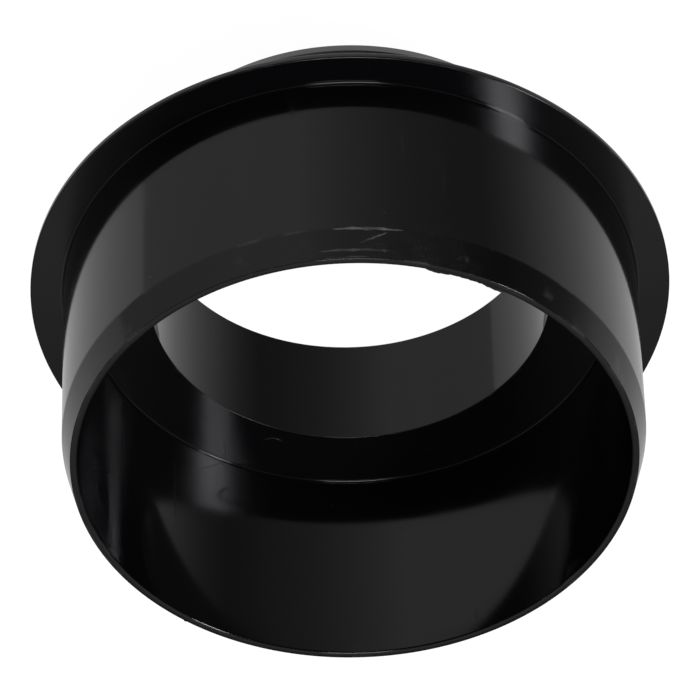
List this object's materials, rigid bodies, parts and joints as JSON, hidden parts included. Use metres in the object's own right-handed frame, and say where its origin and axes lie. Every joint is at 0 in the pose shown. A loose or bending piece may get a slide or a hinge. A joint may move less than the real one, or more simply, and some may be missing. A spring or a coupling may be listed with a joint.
{
  "type": "reducing drain flange",
  "caption": "Black plastic reducing flange: a large chamfered pipe spigot and a smaller hub spigot on one bore, with a thin flat mounting ring between them.",
  "frame": {"origin": "centre of the hub spigot's end face, on the surface that the part stands on", "axes": "+Z along the bore, towards the mouth of the large spigot; the part is round about Z, so X and Y are free"},
  "size_m": [0.1276, 0.1276, 0.073],
  "materials": {
    "spigot_plastic": "moulded gloss black",
    "flange_plastic": "moulded gloss black",
    "web_plastic": "gloss black with a light orange peel",
    "hub_plastic": "moulded gloss black",
    "cement": "cured black solvent cement, glossy"
  },
  "bodies": {
    "root": {"spigot_tube": "spigot_plastic", "flange_ring": "flange_plastic", "reducing_web": "web_plastic", "hub_tube": "hub_plastic", "flange_bead": "cement", "web_bead": "cement", "hub_bead": "cement"}
  },
  "joints": []
}
